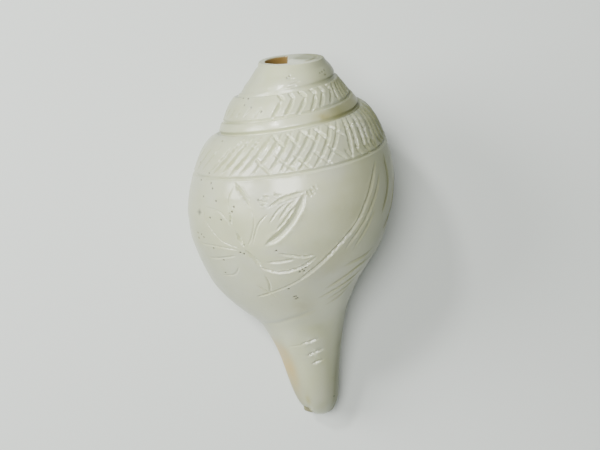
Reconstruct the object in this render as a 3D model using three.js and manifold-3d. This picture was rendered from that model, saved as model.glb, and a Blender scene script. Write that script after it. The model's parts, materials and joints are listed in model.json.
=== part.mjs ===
// A blowing conch: a right-handed chank shell whose spire is sawn off flat, so that the lumen opens
// into a mouth hole. It lies on its outer lip, its belly and the end of its siphonal canal.
// Millimetres and degrees. Depths run along the coiling axis from the sawn face to the canal tip.
// Turn angles: 0 right flank, 90 back, 180 left flank, 270 belly; they grow with the shell.
import * as THREE from "three";
import { mergeVertices } from "three/addons/utils/BufferGeometryUtils.js";
import Module from "manifold-3d";

// ---- Coiling ----
const shellLength = 140; // sawn face to canal tip
const growthPerTurn = 1.5; // each whorl against the one before it
const apexBeyondFace = 16.8; // the sawn-off apex lay this far past the face
const sutureDepth = 33.9; // apex to the body whorl's suture on the right flank
const turn = 360;

// ---- Outlines ----
// Radius of the suture line, carried on as the shoulder line of the last whorl: turn angle, radius.
const sutureRadii = [
  [-540, 12.4],
  [-360, 14.7],
  [-180, 19.2],
  [0, 22.6],
  [180, 28.4],
  [270, 32.6],
  [360, 32.9],
  [540, 42],
];
// Below the shoulder the radius is the shoulder's own times these: depth fraction, right, left.
const flankOutline = [
  [0, 1, 1],
  [0.08, 1.034, 1.031],
  [0.16, 1.012, 1.026],
  [0.24, 0.948, 0.988],
  [0.32, 0.844, 0.929],
  [0.38, 0.709, 0.871],
  [0.44, 0.581, 0.776],
  [0.5, 0.489, 0.645],
  [0.56, 0.41, 0.498],
  [0.62, 0.364, 0.421],
  [0.72, 0.306, 0.338],
  [0.84, 0.254, 0.274],
  [0.93, 0.223, 0.202],
  [0.98, 0.16, 0.1],
];
const shoulderPower = 0.46; // rounded shoulder of the two last whorls
const spirePower = 0.9; // straight cone of the early whorls
const leftShareRange = [-1, 1.3]; // how far the left outline is blended in beyond either flank

// ---- Lip and lumen ----
const lipAngle = 222.5; // the outer lip, where it stands on the ground
// The lip swings back towards the left flank as it narrows into the canal: depth, angle.
const lipSweep = [
  [50, 222.5],
  [64, 220],
  [76, 213],
  [88, 204],
  [96, 193],
  [103, 181],
  [111, 173],
  [125, 169],
  [140, 166],
];
const lipRounding = 1.1;
const lipRoundingAngle = 1.6;
const wall = 4.2; // body whorl
const lipWall = 2.3; // thinned edge
const lipThinningAngle = 35;
const foldCount = 4; // plaits on the columella
const foldDepth = 1.5;
const foldTop = 62;
const foldSpacing = 8;
const foldFadeAngle = 30; // the plaits die away towards the lip
const parietalBite = 0.8; // the lumen runs this far into the whorl before it
const apertureLift = 3; // past the lip it clears that whorl by this much
const apertureOpening = [-2, 14]; // degrees beyond the lip over which it does so
const lumenLeanAngle = 160; // it follows the lip's sweep over these last degrees
const lumenFirstAngle = -640;
const lumenHighest = 5; // kept this far below the sawn face
const lumenLowest = 104; // the last turn's floor; the canal carries on from here
const narrowestLumen = 1.6;
const thinnestSection = 0.6;
const leastFullness = 0.02; // the section's ends stay this blunt
const fullnessPower = 6;

// ---- Siphonal canal: a gutter down the left side, open through the tip ----
const canalTop = 90;
const canalWidth = [5, 3]; // at its top, at the tip
const canalWall = [2.6, 1.2];
const canalReach = 46; // degrees it runs in behind the lip
const canalOutside = 14; // degrees it runs out past the lip
const canalFreeFrom = -6; // degrees past the lip where it starts to leave the whorl beneath
const canalFloorBite = 0.3;
const canalFloorLift = 2;
const canalOvershoot = 5;
const canalBluntDepth = 135; // below this its section no longer shrinks
const canalTipThinning = 3; // the wall runs out at the tip
const canalTipDepths = [132, 137];

// ---- Mouth hole ----
const mouthRadius = 8.1;
const mouthChord = -1.6; // straight side of the D, left of the axis
const mouthDepth = 15;
const mouthFloorScale = 1.35; // it widens with the whorl it opens
const mouthAboveFace = 1;
const sawTilt = 3; // the cut leans this much towards the shell's back

// ---- Rest ----
const restTilt = 16.07; // the sawn end is raised
const restRoll = -1.776;

// ---- Facets ----
const columns = 38;
const shoulderRows = 6;
const spireWhorls = 3;
const lumenStep = 11;
const lumenSideRows = 12;
const lumenLastAngles = [-6, 0, 5, 10, 15]; // sections close to the lip, beyond it
const lumenRegularEnd = 10; // regular sections stop this far before the lip
const lumenSearchStep = 0.2;
const canalDepthSteps = 12;
const canalAngleSteps = 7;
const mouthArcSteps = 14;
const sawBox = 200;

const radians = THREE.MathUtils.degToRad;
const clamp = THREE.MathUtils.clamp;
const smoothstep = THREE.MathUtils.smoothstep;

// Straight-line reading of an outline: rows of [x, value, ...].
function along(outline, x, column = 1) {
  let i = 1;
  while (i < outline.length - 1 && x > outline[i][0]) i += 1;
  const [low, high] = [outline[i - 1], outline[i]];
  const share = clamp((x - low[0]) / (high[0] - low[0]), 0, 1);
  return low[column] + share * (high[column] - low[column]);
}

// Depth of the suture that a whorl starts from.
function sutureAt(angle) {
  return sutureDepth * growthPerTurn ** (angle / turn) - apexBeyondFace;
}

function sutureRadiusAt(angle) {
  const [firstAngle, firstRadius] = sutureRadii[0];
  if (angle <= firstAngle) return firstRadius * growthPerTurn ** ((angle - firstAngle) / turn);
  return along(sutureRadii, angle);
}

// Distance from the coiling axis to the outside of the whorl at this angle and depth.
function whorlRadius(angle, depth) {
  const top = sutureAt(angle);
  const shoulder = sutureAt(angle + turn);
  const topRadius = sutureRadiusAt(angle);
  const shoulderRadius = sutureRadiusAt(angle + turn);
  if (depth <= shoulder) {
    const share = clamp((depth - top) / (shoulder - top), 0, 1);
    const early = smoothstep(-angle, turn / 2, turn);
    const power = shoulderPower + (spirePower - shoulderPower) * early;
    return topRadius + (shoulderRadius - topRadius) * share ** power;
  }
  const share = (depth - shoulder) / (shellLength - shoulder);
  if (share >= 1) return 0;
  const right = along([...flankOutline, [1, 0, 0]], share, 1);
  const left = along([...flankOutline, [1, 0, 0]], share, 2);
  if (right === 0 || left === 0) return 0;
  return shoulderRadius * right * (left / right) ** clamp(angle / (turn / 2), ...leftShareRange);
}

function lipAngleAt(depth) {
  return along(lipSweep, depth);
}

function place(angle, depth, radius) {
  return [radius * Math.cos(radians(angle)), -depth, radius * Math.sin(radians(angle))];
}

const wasm = await Module();
wasm.setup();

function solidFrom(points, faces) {
  return new wasm.Manifold(
    new wasm.Mesh({
      numProp: 3,
      vertProperties: new Float32Array(points.flat()),
      triVerts: new Uint32Array(faces.flat()),
    }),
  );
}

// The outside: one helical grid from above the sawn face down to the canal tip.
function outerSolid() {
  const points = [];
  const grid = new Map();
  const flankRows = flankOutline.slice(1).map(([share]) => share);
  const firstRow = -spireWhorls * shoulderRows;
  const lastRow = shoulderRows + flankRows.length;

  // Columns crowd at the lip, so that its edge is rounded.
  const offsets = [];
  for (let j = 0; j < columns; j += 1)
    offsets.push(-turn + ((turn - lipRoundingAngle) * j) / (columns - 1));
  offsets.push(0);

  function vertex(row, column) {
    if (column === columns && row <= 0) return vertex(row + shoulderRows, 0);
    const key = `${row},${column}`;
    if (grid.has(key)) return grid.get(key);
    let angle = lipAngle + offsets[column];
    let depth = 0;
    let radius = 0;
    if (row <= shoulderRows) {
      const whorl = row === shoulderRows ? 0 : Math.floor(row / shoulderRows);
      const share = ((row - whorl * shoulderRows) / shoulderRows) ** 2;
      const grown = angle + whorl * turn;
      const top = sutureAt(grown);
      depth = top + share * (sutureAt(grown + turn) - top);
      radius = whorlRadius(grown, depth);
    } else {
      const share = flankRows[row - shoulderRows - 1];
      for (let pass = 0; pass < 4; pass += 1) {
        const shoulder = sutureAt(angle + turn);
        depth = shoulder + share * (shellLength - shoulder);
        angle = lipAngleAt(depth) + offsets[column];
      }
      radius = whorlRadius(angle, depth);
    }
    if (column === columns) radius -= lipRounding;
    points.push(place(angle, depth, radius));
    grid.set(key, points.length - 1);
    return points.length - 1;
  }

  const faces = [];
  for (let row = firstRow; row < lastRow; row += 1) {
    for (let column = 0; column < columns; column += 1) {
      const [a, b] = [vertex(row, column), vertex(row, column + 1)];
      const [c, d] = [vertex(row + 1, column + 1), vertex(row + 1, column)];
      faces.push([a, b, c], [a, c, d]);
    }
  }
  const tip = points.push([0, -shellLength, 0]) - 1;
  for (let column = 0; column < columns; column += 1)
    faces.push([vertex(lastRow, column), vertex(lastRow, column + 1), tip]);

  // The lip's own face joins the outer edge to the whorl beneath it.
  let outer = 0;
  let inner = shoulderRows;
  while (outer < lastRow || inner < lastRow) {
    const outerNext = outer < lastRow ? vertex(outer + 1, columns) : tip;
    const innerNext = inner < lastRow ? vertex(inner + 1, 0) : tip;
    const outerFirst =
      inner >= lastRow || (outer < lastRow && points[outerNext][1] > points[innerNext][1]);
    const [a, b] = [vertex(outer, columns), vertex(inner, 0)];
    if (outerFirst) {
      if (a !== b || outerNext !== b) faces.push([a, b, outerNext]);
      outer += 1;
    } else {
      if (a !== b) faces.push([a, b, innerNext]);
      inner += 1;
    }
  }
  faces.push([vertex(lastRow, columns), vertex(lastRow, 0), tip]);

  // Above the sawn face a fan closes the early whorls.
  const rim = [];
  for (let column = 0; column <= columns; column += 1) rim.push(vertex(firstRow, column));
  for (let row = firstRow + shoulderRows - 1; row >= firstRow; row -= 1) rim.push(vertex(row, 0));
  const crown = points.push([0, apexBeyondFace / 2, 0]) - 1;
  for (let i = 1; i < rim.length; i += 1) faces.push([rim[i], rim[i - 1], crown]);
  return solidFrom(points, faces.filter(([a, b, c]) => a !== b && b !== c && c !== a));
}

// How far down the lumen reaches at each turn of the coil.
function lumenFloorAt(angle) {
  const late = Math.min(angle - lipAngle, 0);
  return (lumenLowest + apexBeyondFace) * growthPerTurn ** (late / turn) - apexBeyondFace;
}

function lumenSection(angle) {
  const beyondLip = angle - lipAngle;
  const size = growthPerTurn ** (Math.min(beyondLip, 0) / turn);
  const thin = smoothstep(beyondLip, -lipThinningAngle, 0);
  const thickness = wall * Math.sqrt(size) * (1 - thin) + lipWall * thin;
  const opened = smoothstep(beyondLip, ...apertureOpening);
  const lift = (parietalBite + apertureLift) * opened - parietalBite;
  const lean = smoothstep(angle, lipAngle - lumenLeanAngle, lipAngle);
  const foldFade = smoothstep(-beyondLip, 0, foldFadeAngle);
  const sides = (depth) => {
    const here = angle + (lipAngleAt(depth) - lipAngle) * lean;
    const fold = ((depth - foldTop * size) / (foldSpacing * size)) % 1;
    const inFolds = depth > foldTop * size && depth < (foldTop + foldCount * foldSpacing) * size;
    const groove = inFolds ? foldDepth * Math.sin(Math.PI * Math.abs(fold)) * foldFade : 0;
    return {
      here,
      outer: whorlRadius(here, depth) - thickness,
      inner: whorlRadius(here - turn, depth) + lift - groove,
    };
  };
  const floor = lumenFloorAt(angle);
  let top = Math.max(sutureAt(angle), lumenHighest);
  for (;;) {
    const { outer, inner } = sides(top);
    if (outer - inner > narrowestLumen || top > floor) break;
    top += lumenSearchStep;
  }
  const outerSide = [];
  const innerSide = [];
  for (let i = 0; i <= lumenSideRows; i += 1) {
    const share = (1 - Math.cos((Math.PI * i) / lumenSideRows)) / 2;
    const depth = top + share * (floor - top);
    const { here, outer, inner } = sides(depth);
    const middle = (outer + inner) / 2;
    const rounded = 1 - Math.abs(2 * share - 1) ** fullnessPower;
    const fullness = Math.sqrt(Math.max(rounded, leastFullness));
    const half = (Math.max(outer - inner, thinnestSection) / 2) * fullness;
    outerSide.push(place(here, depth, middle + half));
    innerSide.push(place(here, depth, Math.max(middle - half, thinnestSection)));
  }
  return [...outerSide, ...innerSide.reverse()];
}

function sweptSolid(sections) {
  const points = sections.flat();
  const round = sections[0].length;
  const faces = [];
  for (let i = 0; i + 1 < sections.length; i += 1) {
    for (let k = 0; k < round; k += 1) {
      const next = (k + 1) % round;
      const [a, b] = [i * round + k, i * round + next];
      const [c, d] = [(i + 1) * round + next, (i + 1) * round + k];
      faces.push([a, c, b], [a, d, c]);
    }
  }
  const last = (sections.length - 1) * round;
  const half = round / 2;
  for (let k = 0; k < half - 1; k += 1) {
    const [a, b, c, d] = [k, k + 1, round - 2 - k, round - 1 - k];
    faces.push([a, b, d], [b, c, d]);
    faces.push([last + a, last + d, last + b], [last + b, last + d, last + c]);
  }
  return solidFrom(points, faces);
}

function lumenSolid() {
  const sections = [];
  for (let angle = lumenFirstAngle; angle < lipAngle - lumenRegularEnd; angle += lumenStep)
    sections.push(lumenSection(angle));
  for (const beyond of lumenLastAngles) sections.push(lumenSection(lipAngle + beyond));
  return sweptSolid(sections);
}

function canalSolid() {
  const rings = [];
  for (let i = 0; i <= canalDepthSteps; i += 1) {
    const share = i / canalDepthSteps;
    const depth = canalTop + share * (shellLength + canalOvershoot - canalTop);
    const sized = Math.min(depth, canalBluntDepth);
    const thinning = canalTipThinning * smoothstep(depth, ...canalTipDepths);
    const wallHere = THREE.MathUtils.lerp(...canalWall, share) - thinning;
    const width = THREE.MathUtils.lerp(...canalWidth, share);
    const outerSide = [];
    const innerSide = [];
    for (let k = 0; k <= canalAngleSteps; k += 1) {
      const beyond = canalOutside - ((canalOutside + canalReach) * k) / canalAngleSteps;
      const angle = lipAngleAt(depth) + beyond;
      const outer = whorlRadius(angle, sized) - wallHere;
      const beneath = whorlRadius(angle - turn, sized);
      const free = smoothstep(beyond, canalFreeFrom, canalOutside);
      const gutterFloor = Math.min(beneath - canalFloorBite, outer - width);
      const inner = gutterFloor * (1 - free) + (beneath + canalFloorLift) * free;
      const narrowing = Math.sqrt(1 - (k / (canalAngleSteps + 0.3)) ** 4);
      const half = (Math.max(outer - inner, 1) / 2) * narrowing;
      outerSide.push(place(angle, depth, (outer + inner) / 2 + half));
      innerSide.push(place(angle, depth, (outer + inner) / 2 - half));
    }
    rings.push([...outerSide, ...innerSide.reverse()]);
  }
  return sweptSolid(rings);
}

// The D-shaped mouth hole, ground down into the early lumen.
function mouthSolid() {
  const outline = [];
  for (let i = 0; i <= mouthArcSteps; i += 1) {
    const a = Math.PI / 2 + (Math.PI * i) / mouthArcSteps;
    outline.push([mouthRadius * Math.cos(a), mouthRadius * Math.sin(a)]);
  }
  const rings = [
    [-mouthAboveFace, 1],
    [mouthDepth, mouthFloorScale],
  ];
  const points = [];
  for (const [depth, scale] of rings)
    for (const [x, z] of outline) points.push([mouthChord + x * scale, -depth, z * scale]);
  const round = outline.length;
  const faces = [];
  for (let k = 0; k < round; k += 1) {
    const next = (k + 1) % round;
    faces.push([k, next, round + next], [k, round + next, round + k]);
  }
  for (let k = 1; k + 1 < round; k += 1)
    faces.push([0, k + 1, k], [round, round + k, round + k + 1]);
  return solidFrom(points, faces);
}

// Everything above the sawn face.
function sawnAwaySolid() {
  const box = new THREE.BoxGeometry(sawBox, sawBox, sawBox);
  box.translate(0, sawBox / 2, 0);
  box.rotateX(radians(sawTilt));
  box.deleteAttribute("normal");
  box.deleteAttribute("uv");
  const merged = mergeVertices(box);
  return new wasm.Manifold(
    new wasm.Mesh({
      numProp: 3,
      vertProperties: merged.attributes.position.array,
      triVerts: new Uint32Array(merged.index.array),
    }),
  );
}

const shellSolid = outerSolid()
  .subtract(sawnAwaySolid())
  .subtract(lumenSolid())
  .subtract(canalSolid())
  .subtract(mouthSolid());

function geometryOf(solid) {
  const mesh = solid.getMesh();
  const geometry = new THREE.BufferGeometry();
  geometry.setAttribute("position", new THREE.BufferAttribute(mesh.vertProperties, 3));
  geometry.setIndex(new THREE.BufferAttribute(mesh.triVerts, 1));
  return geometry;
}

const shellMaterial = new THREE.MeshStandardMaterial({
  color: 0xd9dccd,
  roughness: 0.25,
  metalness: 0,
});

const geometry = geometryOf(shellSolid);
geometry.rotateY(radians(restRoll));
geometry.rotateX(radians(restTilt));
geometry.computeBoundingBox();
const box = geometry.boundingBox;
const middle = box.getCenter(new THREE.Vector3());
geometry.translate(-middle.x, -middle.y, -box.min.z);
geometry.computeVertexNormals();

const shell = new THREE.Mesh(geometry, shellMaterial);
shell.name = "shell";

const conch = new THREE.Group();
conch.name = "blowing_conch";
conch.add(shell);

export default conch;
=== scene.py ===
"""A carved blowing conch: a chank shell, sawn off at the spire, polished and engraved by hand."""

import json
import math

import bpy
import numpy as np
from bpy.props import FloatProperty, FloatVectorProperty, IntProperty, PointerProperty
from mathutils import Matrix, Vector


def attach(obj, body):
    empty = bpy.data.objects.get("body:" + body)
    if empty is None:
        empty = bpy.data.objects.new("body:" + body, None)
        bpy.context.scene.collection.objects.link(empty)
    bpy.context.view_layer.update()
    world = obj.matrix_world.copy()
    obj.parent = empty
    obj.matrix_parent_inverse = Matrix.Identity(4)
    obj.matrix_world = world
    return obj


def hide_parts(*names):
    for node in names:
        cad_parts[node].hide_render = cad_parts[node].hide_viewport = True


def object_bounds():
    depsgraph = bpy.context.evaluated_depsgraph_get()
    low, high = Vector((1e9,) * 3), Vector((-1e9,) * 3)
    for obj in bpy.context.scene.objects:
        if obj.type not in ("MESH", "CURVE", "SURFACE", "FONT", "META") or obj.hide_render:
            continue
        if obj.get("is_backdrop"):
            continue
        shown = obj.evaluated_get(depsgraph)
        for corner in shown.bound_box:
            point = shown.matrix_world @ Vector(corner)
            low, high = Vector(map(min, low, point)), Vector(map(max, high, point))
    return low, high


bl_info = {
    "name": "Carved blowing conch",
    "version": (1, 0, 0),
    "blender": (4, 5, 0),
    "location": "View3D > Sidebar > Conch",
    "description": "Grows a chank shell, saws and hollows it, and engraves its back",
    "category": "Object",
}

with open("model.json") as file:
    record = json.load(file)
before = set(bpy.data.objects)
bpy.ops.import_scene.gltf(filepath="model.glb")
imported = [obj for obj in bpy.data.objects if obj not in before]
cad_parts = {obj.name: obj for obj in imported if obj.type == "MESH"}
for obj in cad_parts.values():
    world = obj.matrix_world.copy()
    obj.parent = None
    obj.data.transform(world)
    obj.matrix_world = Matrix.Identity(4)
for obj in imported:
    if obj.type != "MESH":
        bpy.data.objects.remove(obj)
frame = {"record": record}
CAD_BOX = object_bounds()

# Lengths here are millimetres and angles degrees. Depths run down the coiling axis from the sawn
# face to the canal tip. Turn angles grow with the shell: 0 is its right flank, 90 its back,
# 180 its left flank and 270 its belly.
MM = 0.001
TURN = 360.0

# ---- Growth ----
LENGTH = 140.0
GROWTH_PER_TURN = 1.5
APEX_BEYOND_FACE = 16.8
SUTURE_DEPTH = 33.9
SUTURE_RADII = [(-540, 12.4), (-360, 14.7), (-180, 19.2), (0, 22.6), (180, 28.4)]
SUTURE_RADII += [(270, 32.6), (360, 32.9), (540, 42)]
# Depth fraction below the shoulder, and the radius there on the right and the left flank.
FLANK = [(0, 1, 1), (0.08, 1.034, 1.031), (0.16, 1.012, 1.026), (0.24, 0.948, 0.988)]
FLANK += [(0.32, 0.844, 0.929), (0.38, 0.709, 0.871), (0.44, 0.581, 0.776), (0.5, 0.489, 0.645)]
FLANK += [(0.56, 0.41, 0.498), (0.62, 0.364, 0.421), (0.72, 0.306, 0.338), (0.84, 0.254, 0.274)]
FLANK += [(0.93, 0.223, 0.202), (0.98, 0.16, 0.1)]
SHOULDER_POWER = 0.46
SPIRE_POWER = 0.9
CORD_RISE = 0.55  # the smooth cord above the suture stands proud of the whorl
CORD_ROUNDNESS = 0.8
LEFT_SHARES = (-1, 1.3)  # the flank swings from mirrored right to a little past its left shape
TIP_FROM, TIP_SHARE = 0.98, 0.02  # the last share of the flank is rounded off

# ---- Lip and hollow ----
LIP_SWEEP = [(50, 222.5), (64, 220), (76, 213), (88, 204), (96, 193), (103, 181)]
LIP_SWEEP += [(111, 173), (125, 169), (140, 166)]
LIP_ANGLE = LIP_SWEEP[0][1]
LIP_ROUNDING = 1.1
LIP_ROUNDING_ANGLE = 1.6
WALL = 4.2
LIP_WALL = 2.3
LIP_THINNING_ANGLE = 35
FOLD_COUNT = 4
FOLD_DEPTH = 1.5
FOLD_TOP = 62
FOLD_SPACING = 8
FOLD_FADE_ANGLE = 30
PARIETAL_BITE = 0.8  # the hollow runs this far into the whorl before it
APERTURE_LIFT = 3  # and clears it by this much past the lip
APERTURE_OPENING = (-2, 14)  # degrees beyond the lip
LUMEN_LEAN_ANGLE = 160  # over this angle the hollow takes up the lip's sweep
LUMEN_LAST_ANGLES = (-6, -2, 2, 6, 10, 15)  # degrees beyond the lip
LUMEN_FIRST_ANGLE = -640
LUMEN_HIGHEST = 5
LUMEN_LOWEST = 104
LUMEN_SEARCH_STEP = 0.2
NARROWEST_LUMEN = 1.6
THINNEST_SECTION = 0.6
FULLNESS_POWER = 6
LEAST_FULLNESS = 0.02
CANAL_TOP = 90
CANAL_WIDTH = (5, 3)
CANAL_WALL = (2.6, 1.2)
CANAL_REACH = 46
CANAL_OUTSIDE = 14
CANAL_BLUNT_DEPTH = 135
CANAL_OVERSHOOT = 5
CANAL_TIP_THINNING = 3
CANAL_TIP_DEPTHS = (132, 137)
CANAL_FREE_FROM = -6
CANAL_FLOOR_BITE = 0.3
CANAL_FLOOR_LIFT = 2
CANAL_FULLNESS = 0.96
MOUTH_RADIUS = 8.1
MOUTH_CHORD = -1.6
MOUTH_DEPTH = 15
MOUTH_FLOOR_SCALE = 1.35
MOUTH_RINGS = ((-1, 1), (0, 1), (4, 1.06), (MOUTH_DEPTH, MOUTH_FLOOR_SCALE))

# ---- Rest ----
REST_ROLL = -1.776
SAW_TILT = 3.0  # the saw cut leans this much towards the shell's back
MOUNT_PLACE = (5.5, 0, 0)  # where the frame's mount lies on the sawn face

# ---- Fineness ----
COLUMNS = 110
SHOULDER_ROWS = 14
SPIRE_WHORLS = 3
FLANK_ROWS = 56
LUMEN_STEP = 8
LUMEN_ROWS = 28
CANAL_RINGS = 36
CANAL_STEPS = 15
MOUTH_STEPS = 40
LIP_ROUND_STEPS = 5
LAST_FLANK_SHARE = 0.995  # the tip is one point beyond this
DEPTH_ROUNDS = 6  # a row's depth and the swept lip's angle are found together in these
SAW_ROUNDS = 4
SEAM_POINTS = 70
STROKE_SAMPLES = 400
HATCH_POINTS = 24
SETTLE_REACH = 0.4  # new points this close to the outside are laid on it
AXIS_REACH = 0.2  # and not this close to the axis
STROKE_STEP = 0.5
# Longest edges on plain skin, near the saw cut, along the strokes and in the pits.
EDGE_LENGTHS = (3.2, 0.9, 0.54, 0.28)
GROUND_EDGE_LENGTHS = (2.6, 0.6, 0.5, 0.5)
FINE_REACH = (0.4, 1.1)  # least and most, beside a stroke
RIM_REACH = 1.2
MOUTH_REACH = 1.4
FACE_PIT_REACH = 0.8
REFINE_ROUNDS = 9
MOST_TRIANGLES = 199000
WORN_ANGLE = 28  # edges sharper than this are worn
WEAR_SPREAD = 0.75
LONGEST_WORN = 2.5
SHARP_ANGLE = 50
FLOOR_DEPTH = 0.4  # under the lowest modelled point, so that nothing sinks into the sheet

# ---- Engraving ----
# Spiral lines run with the coil: turns from the suture, depth below it, first and last angle.
SPIRALS = {
    "neck line": (-1, 0.4, -137, 222),
    "cord line": (0, -4.3, -137, 222),
    "suture": (0, 0.0, -137, 222),
    "belt line": (0, 13.1, -62, 216),
}
# Free strokes: how hard each is pressed, then its angles and depths on the shell.
PETAL_EDGES = [(1.0, [(88, 41), (91.5, 45.6), (96.5, 50.4), (103, 54.6), (110, 57.6)])]
PETALS = [
    (0.9, [(88.5, 40.2), (94, 40.7), (100.5, 42), (107, 44.6)]),
    (0.4, [(107, 46.3), (111.5, 49.3), (114, 52.2), (117, 57.5)]),
    (0.8, [(92, 43.6), (97.5, 48), (104, 53)]),
    (0.7, [(93, 42.6), (97, 44.6), (102, 49)]),
    (0.5, [(97, 43.2), (102, 45.6), (107, 50)]),
    (1.2, [(126, 36.8), (120, 40.3), (116.5, 44.4)]),
    (0.35, [(116, 44.4), (114.5, 49), (117, 55), (120, 58.5)]),
    (0.3, [(127, 37.7), (129, 42), (128.5, 46.4)]),
    (1.3, [(128.5, 46.2), (127, 50.6)]),
    (1.3, [(125.5, 53), (122, 58.4)]),
    (0.35, [(146, 46.1), (134, 47), (127, 52)]),
    (0.3, [(147, 46.7), (145, 51.3), (136, 57), (124, 59.4)]),
    (0.4, [(154, 60.5), (140, 59.8), (125, 60)]),
    (0.5, [(150, 65.6), (141, 64.6), (128, 62.4)]),
    (0.35, [(145, 72), (134, 70.4), (128, 66.5)]),
    (1.4, [(121.5, 59.8), (118, 62.7), (115, 66.4)]),
    (0.5, [(114.5, 69), (113.5, 73.4), (115.4, 77.4)]),
    (0.8, [(104, 61), (98, 62), (91, 62.9), (85, 62.8)]),
    (0.8, [(111, 64.4), (104.6, 64.3), (96, 63.6)]),
    (0.8, [(116, 66.4), (107.5, 68.4), (99.5, 68.2), (91, 66.4), (84, 63.6)]),
    (0.6, [(127, 80), (116, 77.8), (101, 74.2), (91, 71)]),
    (0.4, [(122, 74), (117, 77), (113, 80)]),
]
CHIPS = [
    (0.9, [(110, 40.8), (106, 41.2)]),
    (0.9, [(112.5, 42.2), (107, 42.8)]),
    (0.8, [(111, 43.9), (108, 43.6)]),
    (0.8, [(86.5, 39.6), (84.5, 41.8)]),
    (0.9, [(84.5, 39.2), (82.5, 41.2)]),
    (0.8, [(104, 40.2), (100, 40.6)]),
    (0.7, [(83, 38.2), (80.5, 39.6)]),
]
SWEEPS = [
    (
        1.0,
        [(38, 34.8), (45, 41.4), (52, 48.1), (58, 53.6)]
        + [(68, 59.4), (78, 64.8), (88, 69.4), (97, 73)],
    ),
    (0.9, [(37, 39.4), (43, 46), (52, 53.9), (62, 60.4), (66, 63.3)]),
    (0.8, [(44, 51), (51, 57.4), (60, 64.2)]),
    (0.9, [(26, 33.6), (27, 41.4), (30, 48.1), (36, 54)]),
    (0.8, [(8, 42), (14, 50.4), (22, 57.6), (30, 62)]),
    (0.8, [(38, 66.5), (49, 68.4), (66, 69.6)]),
    (0.9, [(38, 70.4), (52, 72.4), (66, 76), (78, 78.4)]),
    (0.8, [(42, 75), (54, 77.5), (69, 80.2), (83, 82.3)]),
    (0.8, [(46, 78.3), (58, 81.5), (76, 84.2)]),
    (0.7, [(50, 81.6), (62, 84.6), (76, 86.6)]),
]
CANAL_CUTS = [
    (1.0, [(110, 104.2), (96, 103.2), (82, 102.4)]),
    (0.35, [(134, 106.2), (120, 105.2), (106, 104.4)]),
    (0.5, [(77, 102), (66, 100.9)]),
    (0.9, [(106, 109.8), (89, 108.3), (71, 107.2)]),
    (1.0, [(99, 113.5), (87, 112.6), (73, 112)]),
    (0.3, [(124, 108.9), (106, 109.7)]),
]
NECK_SCRATCHES = [
    (0.9, [(96, 5.2), (84, 4.9)]),
    (1.0, [(93, 6.4), (80, 6)]),
    (0.8, [(97, 7.6), (85, 7.3)]),
]
# The sawn face shows where the earlier whorls were joined: angle, distance from the axis.
FACE_SEAM = [(-64, 9.4), (-35, 9.2), (0, 8.6), (35, 8.2), (62, 9)]
FACE_PITS = [(-36, 14.4), (-40, 13.6), (-30, 13.9)]
# The low step across the canal's upper end.
LEDGE = [(0.8, [(154, 96.2), (133, 94.6), (110, 91.2), (96, 89.4), (83, 87.3)])]
# Worm pits, coloured near black: angle, depth.
PITS = [(148, 35), (155, 38), (149, 43), (138, 43.5), (144, 38), (142, 39.6), (152, 49)]
PITS += [(142, 49.6), (134, 49.6), (156, 57), (152, 57), (150, 57.8), (156, 59), (143, 61)]
PITS += [(138, 65), (126, 44.7), (127, 46.4), (112, 42), (125, 61), (123, 61.4), (105, 60)]
PITS += [(141, 70.6), (103, 76), (92.6, 68), (90.6, 67.4), (94.2, 69), (91.6, 68.8), (93.2, 67.2)]
PITS += [(99, 80.8), (101, 80), (100.4, 81.2), (99.8, 79.9)]
PITS += [(128, 49.5), (122, 58), (148, 11), (140, 11), (97, 4.6), (94, 4.1), (44, 4.2), (38, 3.7)]
PITS += [(49, 4.4), (41, 5.2), (141, 13), (132, 13.6), (120, 14.8), (148, 24.6), (164, 33)]
PIT_LENGTH = 0.2
PIT_REACH = 0.5
PIT_DEPTH = 0.3
PIT_FLOOR = 0.4  # share of its reach that is darkest
# Every kind of cut but hatching and pits: its strokes, how they taper, their width and depth and
# how far their edges are raised.
CUTS = {
    "wide spirals": (("suture", "neck line"), 4, 2.2, 0.85, 0.1),
    "narrow spirals": (("cord line", "belt line"), 4, 1.5, 0.6, 0.1),
    "bold petal": (PETAL_EDGES, 5, 2.9, 1.15, 0.2),
    "petals": (PETALS, 3, 1.4, 0.8, 0.16),
    "chips": (CHIPS, 1, 1.3, 0.6, 0.25),
    "sweeps": (SWEEPS, 6, 1.8, 0.66, 0.14),
    "canal cuts": (CANAL_CUTS, 2, 1.4, 0.55, 0.14),
    "neck scratches": (NECK_SCRATCHES, 1, 0.9, 0.3, 0.1),
    "face seam": (FACE_SEAM, 4, 1.6, 0.35, 0.12),
    "ledge": (LEDGE, 8, 4.5, 0.45, 0.0),
}
PIT_TAPER = 4
HATCH_BURR = 0.1
HATCH_RADIUS = 33.0  # spacing is measured on the shell at this distance from its axis
GUIDE_START = -140.0
GUIDE_STEP = 0.5
GUIDE_OVERRUN = 20  # degrees past the lip
GUIDE_DROP = 0.05  # keeps a line clear of the step at the suture
SPIRAL_STEP = 0.7
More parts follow.
